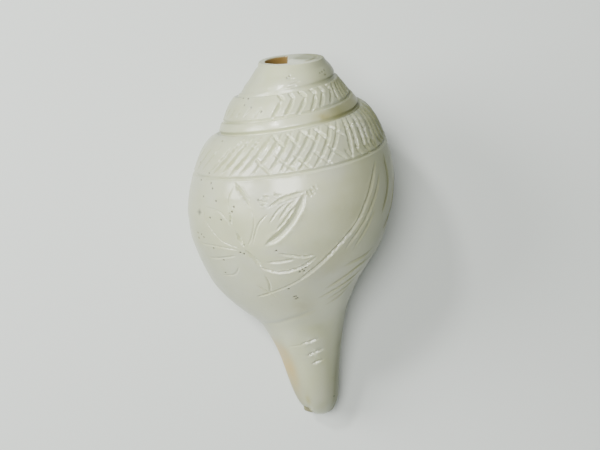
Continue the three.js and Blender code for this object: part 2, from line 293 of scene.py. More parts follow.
# Hatching between two spiral lines: first and last angle, top and bottom share, lean, bow,
# spacing and pressure. A row's number is the seed of its unevenness.
UPPER = ("suture", "belt line")
CROWN = ("neck line", "cord line")
HATCHING = [
    (UPPER, 200, 128, 0.3, 0.92, 13, 0, 1.5, 0.5),
    (UPPER, 130, 54, 0.05, 0.95, 17, -1, 1.1, 1.0),
    (UPPER, 112, 62, 0.06, 0.44, -10, 0, 1.5, 0.9),
    (UPPER, 122, 66, 0.52, 0.97, -12, 0, 1.6, 0.9),
    (UPPER, 54, -58, 0.04, 0.9, 4, 1.2, 0.95, 1.5),
    (UPPER, 64, -50, 0.72, 1.0, -5, 0, 1.3, 0.8),
    (CROWN, 108, 40, 0.36, 0.98, 9, -1, 1.75, 1.0),
    (CROWN, 113, 44, 0.05, 0.36, -7, 0, 1.75, 1.0),
    (CROWN, 40, -120, 0.06, 0.95, 5, 2, 1.2, 1.3),
    (CROWN, 176, 116, 0.5, 0.85, 5, 0, 1.5, 0.5),
]
# How far the hand may stray, as a share of a stroke's lean, length and pressure.
STRAY_LEAN, STRAY_END, STRAY_PRESS = 0.16, 0.035, 0.12
STROKE_END = (-0.1, 0.3)  # a stroke is pressed in over this share of its length
# A cut's edge rises and falls over these distances from its middle, in half widths.
BURR_RISE, BURR_FALL = (0.75, 1.1), (1.1, 1.7)

# ---- Finish ----
# Where each mark begins and ends: under the skin, above the saw cut, by depth or by angle.
FADES = {
    "inside": (0.5, 2.2),
    "canal tip": (126, 136),
    "mouth": (-32, -1),
    "mouth wall": (1.0, 2.5),
    "lip edge": (-50, -27),
    "lip top": (101, 109),
    "lip bottom": (-137, -116),
    "cord top": (-4.4, -3.4),
    "cord bottom": (-0.2, 0.4),
    "right cord": (-72, -48),
    "ground": (-0.35, -0.05),
    "belly": (-90, -46),
    "right flank": (-82, -18),
    "left flank": (108, 165),
    "canal": (98, 128),
}
FACE_SKIN = (0.15, 0.3)  # this near the saw cut there is no amber glow, and no inside
TIP_SHARE_INSIDE = 0.8  # how much of the inside's colour the canal tip loses
LIP_REACH = 4  # degrees behind the lip in which its own face counts as skin
# Painted shade on the left flank and belly, and a deeper tone along the canal, as parts of the
# flank shade mark.
FLANK_SHADE_PARTS = (0.62, 0.3)  # of the left flank and belly, of the canal
OUTSIDE = 0.5  # less of the inside than this is the outside
# Stains: angle, depth, spread in degrees and in depth, strength.
STAINS = [(66, 17.8, 9, 1.6, 1.0), (13, 49, 6, 5, 0.8), (97, 85, 9, 5, 0.5)]
STAINS += [(118, 130.5, 7, 3, 0.8), (150, 60, 16, 10, 0.12), (60, 46, 18, 14, 0.16)]
STAINS += [(72, 68, 16, 9, 0.22), (112, 82, 14, 6, 0.22), (118, 34, 16, 6, 0.14)]
# Cloudy patterns: size and detail of the noise, where it fades in, its least and its most.
CLOUDS = {
    "tint": (28, 4, 0.38, 0.66, 0, 1),
    "bloom": (60, 2, 0.42, 0.72, 0, 0.42),
    "stain": (220, 3, 0.3, 0.62, 0.4, 1),
    "lip": (90, 3, 0.3, 0.7, 0.5, 0.9),
    "specks": (45, 2, 0.6, 0.7, 0, 0.7),
    "roughness": (180, 4, 0.3, 0.7, 0.3, 0.4),
}
GRAIN, FINE_GRAIN = 0.55, 0.5
SPECK_SCALE, SPECK_SIZES = 210.0, (0.06, 0.1)
# Shares of the painted flank shade and canal tone, the painted cord shade, the stains, the ground
# roughness and the coat taken off under the flank shade.
FLANK_SHADE_MIX, CORD_SHADE_SHARE, STAIN_SHARE, GROUND_ROUGHNESS, SHADE_COAT_LOSS = 0.9, 0.8, 0.75, 0.2, 0.8
# Painted shade with dust in the floors of the cuts, darker in deeper cuts.
DUST_AND_SHADE = (0.35, 1, 0, 0.46)  # how deep in a cut it lies, from none to its most
# Colour of the painted shade on the cord's right part, just above the suture.
CORD_SHADE = (0.24, 0.24, 0.1)
SHELL = {
    "IOR": 1.55,
    "Subsurface Weight": 0.15,
    "Subsurface Radius": (1.0, 0.8, 0.55),
    "Subsurface Scale": 0.0016,
    "Coat Roughness": 0.2,
}
SPECULAR = 0.5
RELIEF_SCALES, RELIEF_SHARE = (130, 420.0), 0.7
BUMP = {"Strength": 0.35, "Distance": 0.00018}
PAPER_ROUGHNESS, PAPER_DIMMEST, PAPER_SCALE = 0.75, 0.985, 2.0

# ---- Stage ----
# Here lengths are metres. Each light: where it hangs, its size and share of the window light.
LIGHTS = {
    "window": ((-0.8, 0.26, 0.48), 0.55, 0.92),
    "ceiling": ((-0.2, 0.12, 1.3), 0.7, 1.76),
    "lamp": ((-0.32, 0.42, 0.6), 0.1, 0.24),
}
ROOM_COLOUR = (0.93, 0.96, 0.95, 1)
SHEET_REACH = 1.5
CAMERA_PLACE = (0.002574, 0.006083, 0.397125)
CAMERA_ROLL = -4.781
LENS, SENSOR_WIDTH = 59.16, 36.0


# ---------------------------------------------------------------- the coil


def smooth_curve(points):
    """A smooth curve through the points that never overshoots them."""
    x = np.array([p[0] for p in points], float)
    y = np.array([p[1] for p in points], float)
    slopes = np.diff(y) / np.diff(x)
    bends = np.empty(len(x))
    bends[0], bends[-1] = slopes[0], slopes[-1]
    same = slopes[:-1] * slopes[1:] > 0
    total = np.where(same, slopes[:-1] + slopes[1:], 1)
    bends[1:-1] = np.where(same, 2 * slopes[:-1] * slopes[1:] / total, 0)

    def read(at):
        at = np.clip(at, x[0], x[-1])
        i = np.clip(np.searchsorted(x, at, side="right") - 1, 0, len(x) - 2)
        width = x[i + 1] - x[i]
        t = (at - x[i]) / width
        ends = y[i] * (1 + 2 * t) * (1 - t) ** 2 + y[i + 1] * t * t * (3 - 2 * t)
        return ends + width * (bends[i] * t * (1 - t) ** 2 - bends[i + 1] * t * t * (1 - t))

    return read


SUTURE_CURVE = smooth_curve(SUTURE_RADII)
RIGHT_FLANK = smooth_curve([(share, right) for share, right, _ in FLANK])
LEFT_FLANK = smooth_curve([(share, left) for share, _, left in FLANK])
lip_angle = smooth_curve(LIP_SWEEP)


def ease(x, low, high):
    t = np.clip((x - low) / (high - low), 0, 1)
    return t * t * (3 - 2 * t)


def suture_depth(angle):
    return SUTURE_DEPTH * GROWTH_PER_TURN ** (angle / TURN) - APEX_BEYOND_FACE


def suture_radius(angle):
    first, radius = SUTURE_RADII[0]
    early = radius * GROWTH_PER_TURN ** ((angle - first) / TURN)
    return np.where(angle < first, early, SUTURE_CURVE(angle))


def whorl_radius(angle, depth):
    """Distance from the coiling axis to the outside of the whorl at this angle and depth."""
    top, shoulder = suture_depth(angle), suture_depth(angle + TURN)
    top_radius, shoulder_radius = suture_radius(angle), suture_radius(angle + TURN)
    share = np.clip((depth - top) / (shoulder - top), 0, 1)
    power = SHOULDER_POWER + (SPIRE_POWER - SHOULDER_POWER) * ease(-angle, TURN / 2, TURN)
    upper = top_radius + (shoulder_radius - top_radius) * share**power
    share = np.clip((depth - shoulder) / (LENGTH - shoulder), 0, 1)
    right, left = RIGHT_FLANK(share), LEFT_FLANK(share)
    blunt = np.where(share > TIP_FROM, np.clip((1 - share) / TIP_SHARE, 0, 1) ** 0.5, 1)
    leftward = np.clip(angle / (TURN / 2), *LEFT_SHARES)
    lower = shoulder_radius * right * (left / right) ** leftward * blunt
    return np.where(depth <= shoulder, upper, lower)


def cord_rise(angle, depth):
    """The smooth rounded cord between the cord line and the suture below it."""
    bottom = suture_depth(angle + TURN)
    share = (depth - bottom) / -SPIRALS["cord line"][1] + 1
    return CORD_RISE * np.sin(np.pi * np.clip(share, 0, 1)) ** CORD_ROUNDNESS


def skin_radius(angle, depth):
    """The outside at an angle from the lip backwards, over the earlier whorls too."""
    radius = whorl_radius(angle, depth)
    for back in (1, 2, 3):
        whorl = whorl_radius(angle - back * TURN, depth) + cord_rise(angle - back * TURN, depth)
        radius = np.where(depth < suture_depth(angle - (back - 1) * TURN), whorl, radius)
    return radius


def place(angle, depth, radius):
    turned = np.radians(angle)
    return np.stack([radius * np.cos(turned), -depth + 0 * turned, radius * np.sin(turned)], -1)


def behind_lip(angle, depth):
    """The same direction, as an angle in the one turn that ends at the lip."""
    lip = lip_angle(depth)
    return lip - np.mod(lip - angle, TURN)


def on_skin(angle, depth):
    angle, depth = np.asarray(angle, float), np.asarray(depth, float)
    return place(angle, depth, skin_radius(behind_lip(angle, depth), depth))


def settle(points):
    """Moves points that lie close to the outside onto it, and leaves the lip's own face alone."""
    depth = -points[:, 1]
    radius = np.hypot(points[:, 0], points[:, 2])
    angle = np.degrees(np.arctan2(points[:, 2], points[:, 0]))
    outer_angle = behind_lip(angle, depth)
    outer = skin_radius(outer_angle, depth)
    under = skin_radius(outer_angle - TURN, depth)
    nearest = np.where(np.abs(radius - outer) <= np.abs(radius - under), outer, under)
    rounded = (outer_angle > lip_angle(depth) - LIP_ROUNDING_ANGLE - 0.01) & (nearest == outer)
    free = rounded & (depth > suture_depth(LIP_ANGLE) - 1)
    close = (np.abs(radius - nearest) < SETTLE_REACH) & ~free & (radius > AXIS_REACH)
    settled = points.copy()
    scale = np.where(close, nearest / np.maximum(radius, AXIS_REACH), 1)
    settled[:, 0] *= scale
    settled[:, 2] *= scale
    return settled


def uncut_shell():
    """The outside as one closed mesh: a helical grid, the lip's face and a fan on top."""
    quarter = np.radians(np.linspace(0, 90, LIP_ROUND_STEPS)[1:])
    offsets = np.concatenate(
        [
            np.linspace(-TURN, -LIP_ROUNDING_ANGLE, COLUMNS),
            -LIP_ROUNDING_ANGLE * (1 - np.sin(quarter)),
        ]
    )
    drops = np.concatenate([np.zeros(COLUMNS), LIP_ROUNDING * (1 - np.cos(quarter))])
    first_row = -SPIRE_WHORLS * SHOULDER_ROWS
    last = len(offsets) - 1
    flank_shares = np.linspace(0, LAST_FLANK_SHARE, FLANK_ROWS + 1)[1:]
    points, ids = [], {}
    for row in range(first_row, SHOULDER_ROWS + FLANK_ROWS + 1):
        if row <= SHOULDER_ROWS:
            whorl = 0 if row == SHOULDER_ROWS else row // SHOULDER_ROWS
            share = ((row - whorl * SHOULDER_ROWS) / SHOULDER_ROWS) ** 2
            grown = LIP_ANGLE + offsets + whorl * TURN
            top = suture_depth(grown)
            depth = top + share * (suture_depth(grown + TURN) - top)
            angle = LIP_ANGLE + offsets
            radius = whorl_radius(grown, depth) + (cord_rise(grown, depth) if whorl < 0 else 0)
        else:
            angle = LIP_ANGLE + offsets
            for _ in range(DEPTH_ROUNDS):
                shoulder = suture_depth(angle + TURN)
                depth = shoulder + flank_shares[row - SHOULDER_ROWS - 1] * (LENGTH - shoulder)
                angle = lip_angle(depth) + offsets
            radius = whorl_radius(angle, depth)
        if row > 0:
            radius = radius - drops
        spots = place(angle, depth, radius)
        for column in range(last + 1):
            if column == last and row <= 0:
                continue
            ids[row, column] = len(points)
            points.append(spots[column])
    for row in range(first_row, 1):
        ids[row, last] = ids[row + SHOULDER_ROWS, 0]
    last_row = SHOULDER_ROWS + FLANK_ROWS
    faces = []
    for row in range(first_row, last_row):
        for column in range(last):
            a, b = ids[row, column], ids[row, column + 1]
            d, c = ids[row + 1, column], ids[row + 1, column + 1]
            faces += [(a, b, c), (a, c, d)]
    tip = len(points)
    points.append(np.array([0.0, -LENGTH, 0.0]))
    faces += [(ids[last_row, c], ids[last_row, c + 1], tip) for c in range(last)]
    faces += lip_face(points, ids, last, last_row, tip)
    rim = [ids[first_row, column] for column in range(last + 1)]
    rim += [ids[row, 0] for row in range(first_row + SHOULDER_ROWS - 1, first_row - 1, -1)]
    crown = len(points)
    points.append(np.array([0.0, APEX_BEYOND_FACE / 2, 0.0]))
    faces += [(rim[i], rim[i - 1], crown) for i in range(1, len(rim))]
    faces = np.array([f for f in faces if len(set(f)) == 3])
    return np.array(points), faces


def lip_face(points, ids, last, last_row, tip):
    """Joins the lip's outer edge to the whorl beneath it."""
    faces = []
    outer, inner = 0, SHOULDER_ROWS
    while outer < last_row or inner < last_row:
        outer_next = ids[outer + 1, last] if outer < last_row else tip
        inner_next = ids[inner + 1, 0] if inner < last_row else tip
        higher = outer < last_row and points[outer_next][1] > points[inner_next][1]
        a, b = ids[outer, last], ids[inner, 0]
        if inner >= last_row or higher:
            faces.append((a, b, outer_next))
            outer += 1
        else:
            faces.append((a, b, inner_next))
            inner += 1
    faces.append((ids[last_row, last], ids[last_row, 0], tip))
    return faces


# ---------------------------------------------------------------- the hollow


def lumen_ring(angle):
    """One cross section of the hollow: down its outer wall and back up the columella."""
    beyond = angle - LIP_ANGLE
    size = GROWTH_PER_TURN ** (min(beyond, 0) / TURN)
    thin = ease(beyond, -LIP_THINNING_ANGLE, 0)
    thickness = WALL * math.sqrt(size) * (1 - thin) + LIP_WALL * thin
    lift = (PARIETAL_BITE + APERTURE_LIFT) * ease(beyond, *APERTURE_OPENING) - PARIETAL_BITE
    lean = ease(angle, LIP_ANGLE - LUMEN_LEAN_ANGLE, LIP_ANGLE)
    fold_fade = ease(-beyond, 0, FOLD_FADE_ANGLE)

    def sides(depth):
        here = angle + (lip_angle(depth) - LIP_ANGLE) * lean
        folds = (depth - FOLD_TOP * size) / (FOLD_SPACING * size)
        folded = (folds > 0) & (folds < FOLD_COUNT)
        groove = np.where(folded, FOLD_DEPTH * np.sin(np.pi * np.mod(folds, 1)) * fold_fade, 0)
        outer = whorl_radius(here, depth) - thickness
        return here, outer, whorl_radius(here - TURN, depth) + lift - groove

    floor = (LUMEN_LOWEST + APEX_BEYOND_FACE) * size - APEX_BEYOND_FACE
    depths = np.arange(max(suture_depth(angle), LUMEN_HIGHEST), floor, LUMEN_SEARCH_STEP)
    _, outer, inner = sides(depths)
    top = depths[np.argmax(outer - inner > NARROWEST_LUMEN)]
    share = (1 - np.cos(np.linspace(0, np.pi, LUMEN_ROWS + 1))) / 2
    depth = top + share * (floor - top)
    here, outer, inner = sides(depth)
    middle = (outer + inner) / 2
    rounded = 1 - np.abs(2 * share - 1) ** FULLNESS_POWER
    fullness = np.sqrt(np.maximum(rounded, LEAST_FULLNESS))
    half = np.maximum(outer - inner, THINNEST_SECTION) / 2 * fullness
    down = place(here, depth, middle + half)
    up = place(here, depth, np.maximum(middle - half, THINNEST_SECTION))
    return np.concatenate([down, up[::-1]])


def swept(rings):
    """A closed mesh through rings of points, whose two halves mirror each other at the ends."""
    count = len(rings[0])
    faces = []
    for i in range(len(rings) - 1):
        for k in range(count):
            after = (k + 1) % count
            a, b = i * count + k, i * count + after
            d, c = a + count, b + count
            faces += [(a, c, b), (a, d, c)]
    end = (len(rings) - 1) * count
    for k in range(count // 2 - 1):
        a, b, c, d = k, k + 1, count - 2 - k, count - 1 - k
        faces += [(a, b, d), (b, c, d)]
        faces += [(end + a, end + d, end + b), (end + b, end + d, end + c)]
    return np.concatenate(rings), np.array(faces)


def lumen():
    angles = list(np.arange(LUMEN_FIRST_ANGLE, LIP_ANGLE - LUMEN_STEP, LUMEN_STEP))
    angles += [LIP_ANGLE + beyond for beyond in LUMEN_LAST_ANGLES]
    return swept([lumen_ring(float(angle)) for angle in angles])


def canal():
    """The gutter of the siphonal canal, open along the left side and through the tip."""
    rings = []
    for share in np.linspace(0, 1, CANAL_RINGS):
        depth = CANAL_TOP + share * (LENGTH + CANAL_OVERSHOOT - CANAL_TOP)
        sized = min(depth, CANAL_BLUNT_DEPTH)
        wall = CANAL_WALL[0] + share * (CANAL_WALL[1] - CANAL_WALL[0])
        wall -= CANAL_TIP_THINNING * float(ease(depth, *CANAL_TIP_DEPTHS))
        width = CANAL_WIDTH[0] + share * (CANAL_WIDTH[1] - CANAL_WIDTH[0])
        step = np.linspace(0, 1, CANAL_STEPS)
        beyond = CANAL_OUTSIDE - (CANAL_OUTSIDE + CANAL_REACH) * step
        angle = lip_angle(depth) + beyond
        outer = whorl_radius(angle, sized) - wall
        beneath = whorl_radius(angle - TURN, sized)
        free = ease(beyond, CANAL_FREE_FROM, CANAL_OUTSIDE)
        covered = np.minimum(beneath - CANAL_FLOOR_BITE, outer - width)
        inner = covered * (1 - free) + (beneath + CANAL_FLOOR_LIFT) * free
        half = np.maximum(outer - inner, 1) / 2 * np.sqrt(1 - (step * CANAL_FULLNESS) ** 4)
        down = place(angle, depth, (outer + inner) / 2 + half)
        up = place(angle, depth, (outer + inner) / 2 - half)
        rings.append(np.concatenate([down, up[::-1]]))
    return swept(rings)


def mouth():
    """The D-shaped mouth hole, ground down into the early whorls."""
    angles = np.linspace(np.pi / 2, 3 * np.pi / 2, MOUTH_STEPS)
    rings = []
    for depth, scale in MOUTH_RINGS:
        x = MOUTH_CHORD + MOUTH_RADIUS * scale * np.cos(angles)
        z = MOUTH_RADIUS * scale * np.sin(angles)
        rings.append(np.stack([x, np.full_like(x, -depth), z], -1))
    count = len(angles)
    faces = []
    for i in range(len(rings) - 1):
        for k in range(count):
            a, b = i * count + k, i * count + (k + 1) % count
            faces += [(a, b, b + count), (a, b + count, a + count)]
    end = (len(rings) - 1) * count
    faces += [(0, k + 1, k) for k in range(1, count - 1)]
    faces += [(end, end + k, end + k + 1) for k in range(1, count - 1)]
    return np.concatenate(rings), np.array(faces)


# ---------------------------------------------------------------- meshes


def resting_turn():
    """How the coiling axis lies at rest, and where the middle of the sawn face is."""
    mount = frame["record"]["mounts"][0]
    tilt = math.atan2(mount["axis"][2], mount["axis"][1]) - math.radians(SAW_TILT)
    turn = Matrix.Rotation(tilt, 3, "X") @ Matrix.Rotation(math.radians(REST_ROLL), 3, "Y")
    origin = Vector(mount["pos_m"]) - turn @ (Vector(MOUNT_PLACE) * MM)
    return np.array(turn), np.array(origin)


TURN_AT_REST, SAWN_MIDDLE = resting_turn()


def below_saw(points):
    """How far each place lies under the plane of the saw cut."""
    lean = math.radians(SAW_TILT)
    return -(points[..., 1] * math.cos(lean) + points[..., 2] * math.sin(lean))


def sawn_rim():
    """Places round the outer edge of the sawn face."""
    angle = np.arange(0, TURN, 1.0)
    depth = np.zeros(len(angle))
    for _ in range(SAW_ROUNDS):
        depth = on_skin(angle, depth)[:, 2] * math.tan(math.radians(SAW_TILT))
    return on_skin(angle, depth)


def to_frame(points):
    return np.asarray(points) * MM @ TURN_AT_REST.T + SAWN_MIDDLE


def to_shell(points):
    return (points - SAWN_MIDDLE) @ TURN_AT_REST / MM


def mesh_object(name, points, faces=(), edges=()):
    mesh = bpy.data.meshes.new(name)
    mesh.from_pydata(np.asarray(points).tolist(), list(edges), [tuple(map(int, f)) for f in faces])
    mesh.update()
    built = bpy.data.objects.new(name, mesh)
    bpy.context.scene.collection.objects.link(built)
    return built


def arrays(mesh):
    """Vertices and triangles of a mesh."""
    points = np.empty(len(mesh.vertices) * 3)
    mesh.vertices.foreach_get("co", points)
    mesh.calc_loop_triangles()
    corners = np.empty(len(mesh.loop_triangles) * 3, np.int64)
    mesh.loop_triangles.foreach_get("vertices", corners)
    return points.reshape(-1, 3), corners.reshape(-1, 3)


def store(mesh, name, values, kind="FLOAT"):
    """Writes a value, or a vector, for each point of the mesh."""
    layer = mesh.attributes.get(name) or mesh.attributes.new(name, kind, "POINT")
    field = "value" if kind == "FLOAT" else "vector"
    layer.data.foreach_set(field, np.asarray(values, np.float32).ravel())


def baked(built, name):
    """The object with its modifiers made part of a plain mesh."""
    bpy.context.view_layer.update()
    evaluated = built.evaluated_get(bpy.context.evaluated_depsgraph_get())
    mesh = bpy.data.meshes.new_from_object(evaluated)
    mesh.name = name
    return mesh


def discard(*built):
    for one in built:
        data = one.data
        bpy.data.objects.remove(one)
        if isinstance(data, bpy.types.Mesh) and data.users == 0:
            bpy.data.meshes.remove(data)


class FineZone:
    """A block of small cells that says which places on the shell need a fine mesh."""

    CELL = 0.4
    LOW = np.array([-50.0, -145.0, -50.0])
    HIGH = np.array([50.0, 20.0, 50.0])

    def __init__(self):
        self.cells = np.zeros(np.ceil((self.HIGH - self.LOW) / self.CELL).astype(int), np.uint8)

    def index(self, points):
        inside = np.clip(points, self.LOW, self.HIGH - self.CELL)
        return tuple(((inside - self.LOW) / self.CELL).astype(int).T)

    def add(self, points, reach, level):
        steps = np.arange(-math.ceil(reach / self.CELL), math.ceil(reach / self.CELL) + 1)
        for offset in np.stack(np.meshgrid(steps, steps, steps), -1).reshape(-1, 3) * self.CELL:
            if np.linalg.norm(offset) <= reach + self.CELL / 2:
                index = self.index(points + offset)
                self.cells[index] = np.maximum(self.cells[index], level)

    def edge_length(self, points, lengths):
        return np.asarray(lengths)[self.cells[self.index(points)]]


def edges_of(faces):
    """The mesh's edges, and which of them are each triangle's three sides."""
    sides = np.sort(np.stack([faces, np.roll(faces, -1, 1)], -1).reshape(-1, 2), 1)
    edges, side_edge = np.unique(sides, axis=0, return_inverse=True)
    return edges, side_edge.reshape(-1, 3)


def refine(points, faces, wanted, settled):
    """Halves the longest edges of triangles until each edge is as short as wanted there."""
    for _ in range(REFINE_ROUNDS):
        edges, side_edge = edges_of(faces)
        span = np.linalg.norm(points[edges[:, 0]] - points[edges[:, 1]], axis=1)
        middle = (points[edges[:, 0]] + points[edges[:, 1]]) / 2
        split = span > wanted(middle)
        if not split.any():
            break
        longest = np.argmax(span[side_edge], 1)
        rows = np.arange(len(faces))
        while True:
            lacking = split[side_edge].any(1) & ~split[side_edge[rows, longest]]
            if not lacking.any():
                break
            split[side_edge[rows[lacking], longest[lacking]]] = True
        fresh = np.full(len(edges), -1)
        fresh[split] = len(points) + np.arange(split.sum())
        points = np.concatenate([points, settled(middle[split])])
        order = (longest[:, None] + np.arange(3)) % 3
        a, b, c = (faces[rows, order[:, k]] for k in range(3))
        ab, bc, ca = (fresh[side_edge[rows, order[:, k]]] for k in range(3))
        cut, right, left = ab >= 0, bc >= 0, ca >= 0
        parts = [faces[~cut]]
        for chosen, corners in (
            (cut & ~left, (a, ab, c)),
            (cut & left, (a, ab, ca)),
            (cut & left, (ab, c, ca)),
            (cut & ~right, (ab, b, c)),
            (cut & right, (ab, b, bc)),
            (cut & right, (ab, bc, c)),
        ):
            parts.append(np.stack([corner[chosen] for corner in corners], -1))
        faces = np.concatenate(parts)
    return points, faces


def face_normals(points, faces):
    a, b, c = points[faces[:, 0]], points[faces[:, 1]], points[faces[:, 2]]
    return np.cross(b - a, c - a)


def vertex_normals(points, faces):
    cross = face_normals(points, faces)
    normals = np.zeros_like(points)
    for k in range(3):
        np.add.at(normals, faces[:, k], cross)
    return normals / np.maximum(np.linalg.norm(normals, axis=1, keepdims=True), 1e-12)


def wear_edges(points, faces, rounds):
    """Rounds the ground and broken edges a little, as polishing does."""
    edges, side_edge = edges_of(faces)
    cross = face_normals(points, faces)
    unit = cross / np.maximum(np.linalg.norm(cross, axis=1, keepdims=True), 1e-12)
    owner = np.repeat(np.arange(len(faces)), 3)
    order = np.argsort(side_edge.ravel(), kind="stable")
    first, second = owner[order][::2], owner[order][1::2]
    turned = (unit[first] * unit[second]).sum(1) < math.cos(math.radians(WORN_ANGLE))
    weight = np.zeros(len(points))
    weight[edges[turned].ravel()] = 1
    for _ in range(2):
        spread = weight.copy()
        np.maximum.at(spread, edges[:, 0], WEAR_SPREAD * weight[edges[:, 1]])
        np.maximum.at(spread, edges[:, 1], WEAR_SPREAD * weight[edges[:, 0]])
        weight = spread
    span = np.linalg.norm(points[edges[:, 0]] - points[edges[:, 1]], axis=1)
    edges = edges[span < LONGEST_WORN]
    degree = np.bincount(edges.ravel(), minlength=len(points))
    for _ in range(rounds):
        total = np.zeros_like(points)
        np.add.at(total, edges[:, 0], points[edges[:, 1]])
        np.add.at(total, edges[:, 1], points[edges[:, 0]])
        mean = total / np.maximum(degree, 1)[:, None]
        worn = points + 0.5 * weight[:, None] * (mean - points)
        points = np.where(degree[:, None] > 0, worn, points)
    return points


def cut_shell(points, faces):
    """Saws off the spire and hollows the shell."""
    solid = mesh_object("shell blank", points, faces)
    far = 100.0
    corners = [(i * far, j * far, k * far) for i in (-1, 1) for j in (0, 1) for k in (-1, 1)]
    lean = Matrix.Rotation(math.radians(SAW_TILT), 3, "X")
    corners = [tuple(lean @ Vector(corner)) for corner in corners]
    quads = [(0, 1, 3, 2), (4, 6, 7, 5), (0, 4, 5, 1), (2, 3, 7, 6), (0, 2, 6, 4), (1, 5, 7, 3)]
    cutters = [mesh_object("sawn away", corners, quads)]
    for name, form in (("lumen", lumen), ("canal", canal), ("mouth", mouth)):
        cutters.append(mesh_object(name, *form()))
    for cutter in cutters:
        cut = solid.modifiers.new(cutter.name, "BOOLEAN")
        cut.operation = "DIFFERENCE"
        cut.solver = "MANIFOLD"
        cut.object = cutter
    mesh = baked(solid, "shell hollowed")
    points, faces = arrays(mesh)
    discard(solid, *cutters)
    bpy.data.meshes.remove(mesh)
    return points, faces


# ---------------------------------------------------------------- engraving


def stroke_points(stroke):
    """Even points along a smooth stroke on the skin."""
    through = np.array(stroke, float)
    knots = np.linspace(0, 1, len(through))
    fine = np.linspace(0, 1, STROKE_SAMPLES)
    angle = smooth_pass(knots, through[:, 0])(fine)
    depth = smooth_pass(knots, through[:, 1])(fine)
    points = on_skin(angle, depth)
    travelled = np.concatenate([[0], np.cumsum(np.linalg.norm(np.diff(points, axis=0), axis=1))])
    even = np.linspace(0, travelled[-1], max(int(travelled[-1] / STROKE_STEP), 2) + 1)
    return on_skin(np.interp(even, travelled, angle), np.interp(even, travelled, depth))


def smooth_pass(knots, values):
    """A Catmull-Rom curve through the values."""
    padded = np.concatenate([[2 * values[0] - values[1]], values, [2 * values[-1] - values[-2]]])

    def read(at):
        place_on = at * (len(knots) - 1)
        i = np.clip(place_on.astype(int), 0, len(knots) - 2)
        t = place_on - i
        p0, p1, p2, p3 = (padded[i + k] for k in range(4))
        return 0.5 * (
            2 * p1
            + (p2 - p0) * t
            + (2 * p0 - 5 * p1 + 4 * p2 - p3) * t * t
            + (3 * p1 - p0 - 3 * p2 + p3) * t**3
        )

    return read


def strokes_object(name, lines, taper):
    """Pressures and lines on the shell as one mesh of edges, pressed less near their ends."""
    points, edges, press = [], [], []
    for pressure, line in lines:
        start = len(points)
        ends = np.arange(len(line)) * STROKE_STEP
        points += list(line)
        edges += [(start + i, start + i + 1) for i in range(len(line) - 1)]
        press += list(pressure * ease(np.minimum(ends, ends[::-1]) + 0.3 * taper, 0, taper * 1.3))
    made = mesh_object(name, to_frame(points), edges=edges)
    store(made.data, "press", press)
    return made


class NodeTree:
    """Short ways to add nodes to a tree and join them."""

    def __init__(self, tree):
        self.tree = tree

    def add(self, kind, *links, **settings):
        node = self.tree.nodes.new(kind)
        inputs = settings.pop("inputs", {})
        for key, value in settings.items():
            setattr(node, key, value)
        for key, value in list(enumerate(links)) + list(inputs.items()):
            self.join(value, node.inputs[key])
        return node

    def join(self, value, socket):
        if isinstance(value, bpy.types.NodeSocket):
            self.tree.links.new(value, socket)
        elif value is not None:
            socket.default_value = value

    def math(self, operation, *values):
        return self.add("ShaderNodeMath", *values, operation=operation).outputs[0]

    def times(self, *values):
        return self.math("MULTIPLY", *values)

    def plus(self, *values):
        return self.math("ADD", *values)

    def minus(self, *values):
        return self.math("SUBTRACT", *values)

    def blend(self, factor, low, high):
        node = self.add("ShaderNodeMix", data_type="FLOAT")
        for key, value in (("Factor", factor), ("A", low), ("B", high)):
            self.join(value, node.inputs[key])
        return node.outputs[0]

    def step(self, value, low, high, before=0.0, after=1.0):
        node = self.add("ShaderNodeMapRange", value, low, high, before, after)
        node.interpolation_type = "SMOOTHSTEP"
        return node.outputs[0]


class GeometryTree(NodeTree):
    """A geometry nodes tree with named inputs."""

    def __init__(self, name, inputs):
        super().__init__(bpy.data.node_groups.new(name, "GeometryNodeTree"))
        interface = self.tree.interface
        interface.new_socket("Geometry", in_out="OUTPUT", socket_type="NodeSocketGeometry")
        interface.new_socket("Geometry", in_out="INPUT", socket_type="NodeSocketGeometry")
        for label, kind in inputs:
            interface.new_socket(label, in_out="INPUT", socket_type="NodeSocket" + kind)
        self.inputs = self.add("NodeGroupInput").outputs

    def object(self, label):
        inputs = {"Object": self.inputs[label]}
        info = self.add("GeometryNodeObjectInfo", transform_space="RELATIVE", inputs=inputs)
        return info.outputs["Geometry"]

    def named(self, name, data_type="FLOAT"):
        inputs = {"Name": name}
        node = self.add("GeometryNodeInputNamedAttribute", data_type=data_type, inputs=inputs)
        return node.outputs["Attribute"]

    def store(self, geometry, name, value):
        inputs = {"Geometry": geometry, "Name": name, "Value": value}
        return self.add("GeometryNodeStoreNamedAttribute", inputs=inputs).outputs["Geometry"]

    def sample(self, geometry, value, index, data_type="FLOAT", **settings):
        inputs = {"Geometry": geometry, "Value": value, "Index": index}
        node = self.add("GeometryNodeSampleIndex", data_type=data_type, inputs=inputs, **settings)
        return node.outputs[0]

    def moved(self, geometry, **inputs):
        inputs["Geometry"] = geometry
        return self.add("GeometryNodeSetPosition", inputs=inputs).outputs[0]

    def finish(self, geometry):
        real = self.add("GeometryNodeRealizeInstances", geometry).outputs[0]
        inputs = {"Geometry": real, "Material": self.inputs["Finish"]}
        self.add("NodeGroupOutput", self.add("GeometryNodeSetMaterial", inputs=inputs).outputs[0])


def set_inputs(modifier, values):
    """Sets a modifier's inputs, named as in its tree."""
    sockets = {
        item.name: item.identifier
        for item in modifier.node_group.interface.items_tree
        if item.in_out == "INPUT"
    }
    for label, value in values.items():
        modifier[sockets[label]] = value


